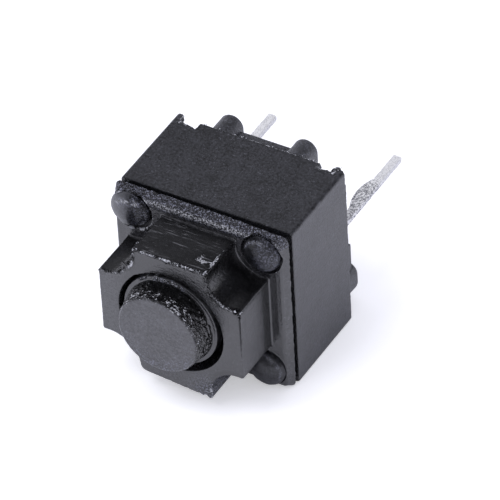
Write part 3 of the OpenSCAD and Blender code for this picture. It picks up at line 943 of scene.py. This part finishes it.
class SWITCH_OT_cover(bpy.types.Operator):
    """Builds the cover: plate, cross-shaped plinth, bore and stake recesses"""

    bl_idname = "switch.cover"
    bl_label = "Cover"

    def execute(self, context):
        settings = context.scene.switch_cover
        s = Sizes(settings)
        plan = plinth_plan(s)
        cover = self.skin(s, plan)
        combine(cover, self.recesses(s), "DIFFERENCE")
        self.wear(cover, plan, s)
        cover.data.transform(Matrix.Translation((-s.drift, 0, 0)))
        material = black_plastic("cover_plastic", settings.plastic, settings.torn, rough=0.24, depth=0.016, mottle=4.0)
        finish_piece(cover, "housing", material, ["cover"])
        return {"FINISHED"}

    def skin(self, s, plan):
        """One closed skin from the guide recess over the plinth and the plate to the underside."""
        face, lip = SEAM + s.plate, SEAM + s.gap
        along = shares_of(plan)

        def disc(radius):
            return at_shares(circle(radius, 720), along)

        def cross(out):
            return plinth_plan(s, out)

        def side(inset):
            points = at_shares(rounded_square(HALF - inset, max(0.22 - inset * 0.4, 0.05), 200, 24), along)
            points[:, 0] += s.drift * ramp(0.5, 2.5, points[:, 0])
            return points

        bore, guide, round_off = disc(s.bore), disc(2.0), 0.03
        rings = [ring(guide, SEAM), ring(guide, SEAM + 0.45), ring(bore, SEAM + 0.45)]
        rings += [ring(bore, z) for z in np.linspace(SEAM + 0.6, TOP - 0.1, 9)]
        rings += [ring(disc(s.bore + a), TOP - b) for a, b in bevel(round_off, 5)]
        inner, outer = disc(s.bore + round_off), cross(-0.14)
        rings += [ring(inner + (outer - inner) * t, TOP) for t in (0.2, 0.4, 0.6, 0.8, 1.0)]
        rings += [ring(cross(-inset), TOP) for inset in (0.11, 0.085, 0.06)]
        rings += [ring(cross(-b), TOP - a) for a, b in bevel(s.edge, 6)]
        rings += [ring(plan, TOP - down) for down in np.arange(0.06, 0.64, 0.04)]
        rings += [ring(plan, z) for z in np.linspace(TOP - 0.7, face + s.fillet + 0.05, 8)]
        rings += [ring(cross(a), face + b) for a, b in bevel(s.fillet, 6)]
        foot, rim = cross(s.fillet), side(0.235)
        rings += [ring(foot + (rim - foot) * t, face) for t in (0.12, 0.3, 0.5, 0.7, 0.85, 1.0)]
        rings += [ring(side(0.12 + 0.1035 * b), face - 0.085 * a) for a, b in bevel(1.0, 5, 0.3)]
        rings += [ring(side(0.12 * t), face - 0.08 + (lip + 0.09 - face) * (1 - t)) for t in np.linspace(0.9, 0.06, 14)]
        rings += [ring(side(inset), z) for inset, z in
                  ((0.012, lip), (0.025, lip - 0.012), (0.2, lip - 0.02), (0.2, SEAM), (0.5, SEAM))]
        verts, faces = loft(rings, closed=True)
        return piece("cover", self.roughen(verts, plan, s), faces)

    def near_edge(self, p, plan):
        """Distance of each point from the plinth's upper edge."""
        close = np.full(len(p), 9.0)
        upper = np.nonzero(p[:, 2] > TOP - 0.6)[0]
        for part in np.array_split(upper, 40):
            gap = np.linalg.norm(p[part, None, :2] - plan[None], axis=2).min(1)
            close[part] = np.hypot(gap, p[part, 2] - TOP)
        return close

    def rough_side(self, p):
        """How torn an edge is at each point: most on the Y+ arm and its scoops, and at one corner of the Y- arm."""
        x, y = p[:, 0], p[:, 1]
        upper = 1.2 * ramp(0.9, 1.3, y) - 0.75 * spot(0.42, x - 1.25, y - 2.0)
        return np.clip(0.12 + upper + 0.95 * spot(0.45, x - 1.25, y + 2.3), 0, 1.4)

    def band(self, p):
        """The plate's Y+ side and its chamfer, whose skin is broken."""
        return ramp(2.6, 2.72, p[:, 1]) * ramp(SEAM + 0.08, SEAM + 0.14, p[:, 2]) * (p[:, 2] < SEAM + 0.6)

    def roughen(self, p, plan, s):
        """Uneven and chipped edges, a nick, a fine crack, the broken skin of the Y+ band and the seam's uneven lip."""
        near = self.near_edge(p, plan)
        grip = spot(0.07, near) * self.rough_side(p)
        push = np.column_stack([ragged(p, 0.11, k) for k in (1, 2, 3)])
        p = p + push * (grip * 0.032)[:, None]
        chips = np.clip(ragged(p, 0.15, 9) - 0.05, 0, None) * grip
        x, y, z = p.T
        z -= 0.16 * spot(0.09, x - 2.31, y - 1.34) * ramp(TOP - 0.4, TOP, z)
        crack = 0.06 * spot(0.024, near) * (x > 2.4) * (0.45 + 0.55 * ramp(-0.6, 0.8, y))
        x -= crack
        z -= crack
        self.fill_scoop(p, s)
        inward = np.array([0, 0, SEAM + s.plate]) - p
        p += inward * (chips * 0.12 / np.linalg.norm(inward, axis=1))[:, None]
        band = self.band(p)
        y += band * 0.022 * (ragged(p, 0.07, 4) - 0.7)
        z += band * 0.018 * ragged(p, 0.06, 6)
        out = np.abs(p[:, :2]).max(1)
        z += 0.03 * spot(0.03, z - SEAM - s.gap) * (out > 2.9) * ragged(p, 0.13, 7)
        under = (z > SEAM + 0.1) * np.clip(1 - (z - SEAM - s.gap) / 0.28, 0, 1)
        z += 0.07 * under * ramp(0.5, 3.0, x) * (out > 2.75)
        return p

    def fill_scoop(self, p, s):
        """Torn lumps that hang into the scoop at X-, Y+, with two small holes."""
        away = p[:, :2] - np.array([-s.stake, s.stake])
        reach = np.hypot(away[:, 0], away[:, 1])
        turn = np.degrees(np.arctan2(away[:, 1], away[:, 0]))
        fill = spot(1.0, (turn + 30) / 26, (reach - s.scoop) / 0.2) * ramp(TOP - 0.75, TOP - 0.08, p[:, 2])
        lumps = (0.13 + 0.2 * ragged(p, 0.17, 14)) * fill
        for angle, down in ((-42, 0.16), (-24, 0.13)):
            aside = np.radians(turn - angle) * s.scoop
            lumps -= 0.3 * spot(0.055, aside, p[:, 2] - TOP + down) * (np.abs(reach - s.scoop) < 0.02)
        p[:, :2] -= away / np.maximum(reach, 0.3)[:, None] * lumps[:, None]

    def recesses(self, s):
        """Stepped holes for the four stakes; the one at X+, Y- is narrower."""
        face, step, hole = SEAM + s.plate, 0.18, 0.52
        cutters = []
        for x, y in ((-1, -1), (-1, 1), (1, -1), (1, 1)):
            wide = 0.655 if x > 0 > y else 0.7
            profile = ((hole, 4.0), (hole, face - step), (wide, face - step), (wide, face - 0.02), (wide + 0.015, face),
                       (wide + 0.015, face + 0.3))
            rings = [r + np.array([x * s.stake + 0.015, y * s.stake, 0]) for r in turned(profile, 72)]
            cutters.append(piece("recess", *loft(rings)))
        return cutters

    def wear(self, cover, plan, s):
        """Paints the torn edges, the coarse Y+ band and the flow lines of the Y+ arm; darkens the scoops, the Y+ flank,
        the seam's gap, the crack, the lower part of the X+ arm's end, the top and right of the plinth's face and the
        plate's X+ strip as painted shade, and makes them glossier;
        and pales the left and lower parts of the plinth's face as painted light.
        """
        p = places(cover)
        x, y, z = p.T
        face = SEAM + s.plate
        near, band = self.near_edge(p, plan), self.band(p)
        on_top = z > TOP - 0.02
        tall = ramp(face, face + 0.1, z)
        rim = np.hypot(np.abs(x) - s.stake, np.abs(y) - s.stake)

        edges = spot(0.07, near) * self.rough_side(p) * (1 - 0.3 * ramp(-1.2, -1.5, x) * (y > 1))
        torn = 0.25 * ramp(1.07, 0.95, np.hypot(x + s.stake, y - s.stake)) * ramp(face + 0.9, face + 1.3, z)
        scuffed = 0.95 * spot(1.0, (x - 1.0) / 0.45, (z - 6.0) / 0.4) * (y > 2.4)
        streak = spot(0.075, y - 2.79, z - face + 0.02) * (0.35 + 0.65 * ramp(-2.0, -1.2, x) * ramp(2.2, 0.8, x))
        rims = spot(0.03, rim - 0.71) * ramp(face - 0.1, face - 0.02, z) * (z < face + 0.1)
        rims *= 1 + 2.5 * (x < 0) * (y > 0)
        torn_wall = spot(0.5, x - 1.2, y + 2.35) * tall
        marks = 0.55 * spot(0.05, x - 2.76, z - face) * (np.abs(y - 0.6) < 1.4)
        for px, py, strength in ((1.31, 2.475, 0.6), (-1.21, 2.475, 0.6), (2.475, 1.31, 0.6), (-2.5, 1.25, 1.2)):
            marks += strength * spot(0.05, x - px, y - py) * tall

        # Painted shade and gloss: the Y+ flank, the scoop walls, the seam's gap, the crack, the lower part of the X+
        # arm's end (a painted dark reflection), the top and right of the plinth's face and the plate's X+ strip are
        # darkened.
        flank = tall * (y > s.arm - 0.03) * (z < TOP - 0.03)
        wall = ramp(1.12, 1.08, rim) * tall
        slot = (z < SEAM + 0.13) * (np.abs(p[:, :2]).max(1) < 2.96)
        crack = spot(0.03, near) * (x > 2.35)
        mirror = 0.9 * tall * (x > s.arm - 0.02) * ramp(face + 0.5, face + 0.38, z)
        shade = (0.9 * ramp(0.9, 1.9, y) + 0.5 * ramp(1.2, 2.2, x)) * on_top
        brink = 0.5 * ramp(2.3, 2.6, x) * ramp(face - 0.05, face - 0.01, z) * ramp(face + 0.05, face + 0.01, z)
        # Painted light: the left and lower parts of the plinth's face are made paler.
        pale = (0.14 * ramp(-1.2, -2.2, x) + 0.09 * ramp(-1.5, -2.2, y)) * on_top

        paint(cover, band=band + 1.1 * np.clip(streak, 0, 1) + 1.25 * torn_wall, frost=pale,
              wear=np.clip(edges + torn + scuffed + marks + 0.7 * streak + 0.4 * rims + 0.35 * torn_wall, 0, 1.5),
              flow=np.clip(flank + 0.25 * tall * (x > s.arm - 0.03), 0, 1),
              sheen=np.clip(wall + 0.9 * flank + slot + crack + mirror + shade + brink, 0, 1))


class SWITCH_OT_stakes(bpy.types.Operator):
    """Melts the four stake heads over the cover"""

    bl_idname = "switch.stakes"
    bl_label = "Stake Heads"

    def execute(self, context):
        settings = context.scene.switch_stakes
        s = Sizes(context.scene.switch_cover)
        floor = SEAM + s.plate - 0.08
        points = [(x * s.stake - s.drift, y * s.stake, floor) for x in (-1, 1) for y in (-1, 1)]
        material = black_plastic("stake_plastic", context.scene.switch_housing.plastic, context.scene.switch_cover.torn,
                                 grain=13.0, rough=0.32, depth=0.012, gloss=0.5)
        values = {"Radius": settings.radius, "Height": settings.height, "Melt": settings.melt, "Seed": settings.seed,
                  "Material": material}
        heads = grow("stake_heads", stake_tree(), values, points)
        self.shape(heads, s.stake, floor, s.drift)
        finish_piece(heads, "housing", material)
        return {"FINISHED"}

    def shape(self, heads, reach, floor, drift):
        """Paints the heads' torn rims and pale arcs, paints light on the left side of the head at X-, Y+ and shade on
        its flattened right side and on the left of the head at X+, Y+, pushes the head at X-, Y+ aside, and widens the
        one at X+, Y-.
        """
        p = places(heads)
        x, y, height = p[:, 0] + drift, p[:, 1].copy(), p[:, 2] - floor
        aside, along = x - np.sign(x) * reach, y - np.sign(y) * reach
        turn = np.degrees(np.arctan2(along, aside))
        left, right, low = (x < 0) & (y > 0), (x > 0) & (y > 0), (x > 0) & (y < 0)
        flat = left * ramp(-0.05, 0.25, aside)
        broken = np.clip(0.6 + 1.2 * ragged(p, 0.12, 31), 0, 1)
        lines = spot(0.035, height - 0.2) * broken
        arcs = lines * right * ramp(60, 78, turn) * ramp(168, 150, turn)
        arcs += 1.3 * spot(0.05, height - 0.26) * broken * left * ramp(40, 60, turn) * ramp(150, 135, turn)
        arcs += 0.6 * lines * left * ramp(-70, -50, turn) * ramp(30, 10, turn)
        arcs += 0.5 * lines * low * ramp(-60, -40, turn) * ramp(110, 90, turn)
        rim = spot(0.07, np.hypot(aside, along) - 0.58) * right * ramp(-80, -60, turn) * ramp(-10, -30, turn)
        # Painted light on the left side of the head at X-, Y+; painted shade on its right side and on the left side of
        # the head at X+, Y+.
        paint(heads, wear=0.5 * rim,
              band=1.9 * arcs + 0.15 * left + 0.25 * flat + 0.55 * right * ramp(-0.2, 0.3, aside),
              frost=0.55 * left * ramp(0.15, -0.35, aside) + 0.9 * arcs,
              sheen=0.85 * flat + 0.8 * right * ramp(0.15, -0.25, aside))
        p[:, 2] -= 0.35 * flat * np.clip(height, 0, None)
        height = p[:, 2] - floor
        p[:, 0] += left * (0.2 * height - 0.09 + 0.1 * aside) + low * 0.03 * aside
        p[:, 1] += low * (0.06 * along - 0.03) - left * 0.03 * along
        p[:, 2] += low * 0.1 * height
        heads.data.vertices.foreach_set("co", p.ravel())


class SWITCH_OT_flash(bpy.types.Operator):
    """Scatters torn flash along the plinth's ragged edges and the box's notched edge"""

    bl_idname = "switch.flash"
    bl_label = "Torn Flash"

    def execute(self, context):
        housing, cover = context.scene.switch_housing, context.scene.switch_cover
        s, under = Sizes(cover), Sizes(housing).under
        material = torn_plastic(housing.plastic, cover.torn)
        tree = flash_tree()
        plan = plinth_plan(s)

        def edge(kept):
            return [(x - s.drift, y, TOP) for x, y in plan if kept(x, y)]

        torn = edge(lambda x, y: y > 2.35 and x > -1.35)
        nicked = edge(lambda x, y: 1.2 < y < 1.6 and x > 1.5)
        hair = edge(lambda x, y: 1.15 < y < 1.6 and x < -1.6)
        posts = [[(x - s.drift, y, TOP), (x - s.drift, y, TOP - deep)] for x, y, deep in
                 ((1.31, s.arm, 1.2), (-1.19, s.arm, 0.9), (s.arm, 1.31, 0.3))]
        lower = [(x, HALF - 0.01, under + 0.005) for x in np.linspace(-2.0, 2.0, 60)]
        left, right, burr = ([(x, HALF - inset, under + up) for x, inset, up in path] for path in (
            ((-2.98, 0.03, 0), (-2.86, 0.04, -0.05), (-2.76, 0.06, -0.08)),
            ((2.9, 0.04, 0.01), (2.76, 0.05, -0.07), (2.64, 0.05, -0.06), (2.6, 0.05, 0.1)),
            ((2.1, 0.03, 0.2), (2.18, 0.03, 0.26), (2.27, 0.03, 0.2))))
        self.lay("plinth_flash", tree, [torn, nicked] + posts, material, "cover_plastic", 0.028, 0.43)
        self.lay("scoop_flash", tree, [hair], material, "cover_plastic", 0.015, 0.5)
        self.lay("box_flash", tree, [lower, left, right, burr], material, "base_plastic", 0.024, 0.4)
        return {"FINISHED"}

    def lay(self, name, tree, paths, material, slot, grain, density):
        """One strip of flash along the paths, with slivers of about the size grain."""
        points, edges = [], []
        for path in paths:
            edges += [(len(points) + k, len(points) + k + 1) for k in range(len(path) - 1)]
            points += path
        flash = grow(name, tree, {"Material": material, "Size": grain * MM, "Density": density}, points, edges)
        finish_piece(flash, "housing", material)


class SWITCH_OT_button(bpy.types.Operator):
    """Turns the plunger, with its pitted flank"""

    bl_idname = "switch.button"
    bl_label = "Plunger"

    top, low = BUTTON_HIGH.z / MM, BUTTON_LOW.z / MM
    shoulder = 6.5

    def execute(self, context):
        settings = context.scene.switch_button
        s = Sizes(settings)
        button = self.lathe(s)
        self.wear(button, s)
        drift = Sizes(context.scene.switch_cover).drift
        button.data.transform(Matrix.Translation((-drift - 0.04, 0.04, 0)))
        material = black_plastic("plunger_plastic", settings.plastic, context.scene.switch_cover.torn, rough=0.34,
                                 depth=0.008, scratch_turn=0.9, scratches=0.2, mottle=4.5)
        finish_piece(button, "plunger", material, ["plunger"])
        return {"FINISHED"}

    def lathe(self, s):
        """Stem, flange, shoulder, pitted flank and face."""
        stem, boss, flange, round_off = 0.35, 0.95, 1.95, 0.02
        boss_low, flange_low, flange_top = 2.98, 4.23, 4.73
        tall = self.top - self.shoulder
        profile = [(stem, self.low), (stem, boss_low), (boss, boss_low), (boss, flange_low),
                   (flange - round_off, flange_low), (flange, flange_low + round_off),
                   (flange, flange_top - round_off), (flange - round_off, flange_top), (s.collar, flange_top)]
        profile += [(s.collar, z) for z in np.linspace(flange_top + 0.3, self.shoulder - 0.06, 6)]
        profile += [(s.collar - a, self.shoulder - b) for a, b in bevel(0.03, 4)]
        profile += [(s.foot + out, self.shoulder + up) for out, up in ((0.05, 0), (0.02, 0.006), (0, 0.03))]
        profile += [(s.foot + (s.face - s.foot) * t, self.shoulder + tall * t) for t in np.linspace(0.08, 0.92, 36)]
        profile += [(s.face - a, self.top - b) for a, b in bevel(0.055, 7)]
        profile += [(r, self.top) for r in (1.27, 1.2, 1.05, 0.8, 0.5, 0.2)]
        verts, faces = loft(turned(profile, 420))
        height = (verts[:, 2] - self.shoulder) / tall
        radius = np.hypot(verts[:, 0], verts[:, 1])
        flank = ramp(0.03, 0.15, height) * ramp(1.03, 0.9, height) * (radius > 1.3)
        pits = np.clip(ragged(verts * np.array([0.5, 0.5, 1.25]), 0.09, 11, 4) + 0.15, -0.4, 1.0) * s.pits
        lip = spot(0.05, radius - s.face, verts[:, 2] - self.top)
        out = lip * 0.012 * (ragged(verts, 0.1, 12) - 0.3) - flank * pits
        verts[:, :2] *= (1 + out / np.maximum(radius, 0.2))[:, None]
        return piece("plunger_button", verts, faces)

    def wear(self, button, s):
        """Paints the worn rim, pale specks on the upper flank that stand in for glints as painted highlights, a darker
        and glossier flank as painted shade, and broken painted highlight lines on the shoulder.
        """
        p = places(button)
        x, y, z = p.T
        radius, turn = np.hypot(x, y), np.degrees(np.arctan2(y, x))
        # The rim mask is wear at the face's edge; below it on the flank its specks are painted highlights standing in
        # for glints, stronger on the upper side.
        rim = spot(0.06, radius - s.face, z - self.top) + ramp(self.top - 0.6, self.top - 0.2, z) * (radius > s.face)
        rim *= np.clip(0.6 + 2.6 * ragged(p * np.array([0.6, 0.6, 1.6]), 0.06, 35), 0, 1.5)
        rim *= 0.25 + 0.75 * ramp(-0.6, 0.9, y)
        flank = ramp(6.45, 6.56, z) * ramp(self.top - 0.02, self.top - 0.1, z) * (radius > 1.3)
        line = spot(0.025, radius - s.face + 0.02) * (z > self.top - 0.05) * ramp(0.6, -0.4, y + 0.5 * x)
        face = (0.14 + 0.45 * ramp(0.2, -1.0, y) * ramp(0.9, 1.15, radius)) * (z > self.top - 0.02)
        # Painted highlights: broken pale lines on the shoulder and the collar.
        arcs = spot(0.035, radius - s.collar + 0.02) * ramp(80, 92, turn) * ramp(135, 122, turn)
        arcs += spot(0.03, radius - s.foot - 0.04) * ramp(62, 75, turn) * ramp(115, 100, turn)
        arcs *= 3.0 * np.clip(0.5 + 1.5 * ragged(p, 0.15, 33), 0, 1) * (z > 6.4) * (z < 6.56)
        paint(button, wear=np.clip(rim, 0, 1.4), sheen=1.2 * flank, frost=0.8 * line, band=face + arcs)


class SWITCH_OT_terminals(bpy.types.Operator):
    """Stamps the two tinned terminals"""

    bl_idname = "switch.terminals"
    bl_label = "Terminals"

    def execute(self, context):
        settings = context.scene.switch_terminals
        material = tinned_metal(settings.tin)
        for side, node in ((-1, "terminal_left"), (1, "terminal_right")):
            terminal = combine(merged_copy(node, 1.2), [self.pin(Sizes(settings), side)], "UNION")
            terminal.name = node + "_tinned"
            finish_piece(terminal, "housing", material, [node], 35)
        return {"FINISHED"}

    def pin(self, s, side):
        """One pin, swept from its sheared tip into the floor, with its bulge on the inner edge."""
        half, middle = s.width / 2, side * s.pitch / 2
        bulge_z, bulge_reach, shear, slope = -1.4, 0.775, 0.03, 0.06
        bend = (bulge_reach ** 2 + s.bulge ** 2) / (2 * s.bulge)
        rings = []
        for up in np.concatenate([[0.0, 0.012, shear], np.arange(0.06, s.length + 1.3, 0.035)]):
            off = abs(up - s.length - bulge_z)
            bulge = max(0.0, math.sqrt(bend ** 2 - off ** 2) - bend + s.bulge) if off < bulge_reach else 0.0
            inset = shear * max(0.0, 1 - up / shear)
            points = self.section(inset - half - bulge, half - inset, inset - s.sheet, -inset, 0.028)
            if side < 0:
                points = points[::-1] * np.array([-1, 1])
            points = ring(points, up - s.length)
            points[:, 2] += slope * max(0.0, 1 - up / 0.12) * (points[:, 0] + half)
            rings.append(points + np.array([middle, 0, 0]))
        verts, faces = loft(rings)
        press = np.column_stack([ragged(verts, 0.12, k) for k in (21, 22, 23)])
        verts = verts + press * 0.006 * ramp(1.0, 0.8, verts[:, 2])[:, None]
        return piece("pin", verts, faces)

    def section(self, x0, x1, y0, y1, r):
        """Rounded rectangle, anticlockwise, with points along its sides."""
        corners = [(x1 - r, y1 - r), (x0 + r, y1 - r), (x0 + r, y0 + r), (x1 - r, y0 + r)]
        points = []
        for k in range(4):
            turns = np.linspace(k, k + 1, 4) * math.pi / 2
            points += arc(*corners[k], r, turns)
            last, ahead = np.array(points[-1]), np.array(arc(*corners[(k + 1) % 4], r, turns[-1:])[0])
            points += [tuple(last + (ahead - last) * t) for t in np.linspace(0, 1, 5 if k % 2 else 8)[1:-1]]
        return np.array(points)


class SWITCH_OT_inner(bpy.types.Operator):
    """Makes the snap dome and gives the damper pad its finish"""

    bl_idname = "switch.inner"
    bl_label = "Snap Dome and Pad"

    def execute(self, context):
        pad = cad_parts["damper_pad"].data
        if not pad.materials:
            raise RuntimeError("the damper pad has no material slot")
        milky = pale_silicone()
        for index in range(len(pad.materials)):
            pad.materials[index] = milky
        dome = merged_copy("snap_dome")
        dome.name = "snap_dome_sprung"
        finish_piece(dome, "housing", sprung_steel(), ["snap_dome"])
        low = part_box("snap_dome")[0]
        low.z
        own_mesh(dome)
        return {"FINISHED"}


# Panel and registration

OPERATORS = (SWITCH_OT_stage, SWITCH_OT_base, SWITCH_OT_cover, SWITCH_OT_stakes, SWITCH_OT_flash,
             SWITCH_OT_button, SWITCH_OT_terminals, SWITCH_OT_inner)
SETTINGS = (("switch_housing", SwitchHousing), ("switch_cover", SwitchCover), ("switch_stakes", SwitchStakes),
            ("switch_button", SwitchButton), ("switch_terminals", SwitchTerminals), ("switch_stage", SwitchStage))


class SWITCH_PT_panel(bpy.types.Panel):
    """Lists the switch's pieces and their settings"""

    bl_idname = "SWITCH_PT_panel"
    bl_label = "Push Button Switch"
    bl_space_type = "VIEW_3D"
    bl_region_type = "UI"
    bl_category = "Switch"

    def draw(self, context):
        layout = self.layout
        for operator in OPERATORS:
            layout.operator(operator.bl_idname)
        for name, kind in SETTINGS:
            box = layout.box()
            box.label(text=kind.__doc__)
            for key in kind.__annotations__:
                box.prop(getattr(context.scene, name), key)


def register():
    for kind in [c for _, c in SETTINGS] + list(OPERATORS) + [SWITCH_PT_panel]:
        bpy.utils.register_class(kind)
    for name, kind in SETTINGS:
        setattr(bpy.types.Scene, name, PointerProperty(type=kind))


def unregister():
    for name, _ in SETTINGS:
        delattr(bpy.types.Scene, name)
    for kind in [SWITCH_PT_panel] + list(OPERATORS)[::-1] + [c for _, c in SETTINGS][::-1]:
        bpy.utils.unregister_class(kind)


def main():
    register()
    bpy.ops.switch.stage()
    bpy.ops.switch.base()
    bpy.ops.switch.cover()
    bpy.ops.switch.stakes()
    bpy.ops.switch.flash()
    bpy.ops.switch.button()
    bpy.ops.switch.terminals()
    bpy.ops.switch.inner()


if __name__ == "__main__":
    main()
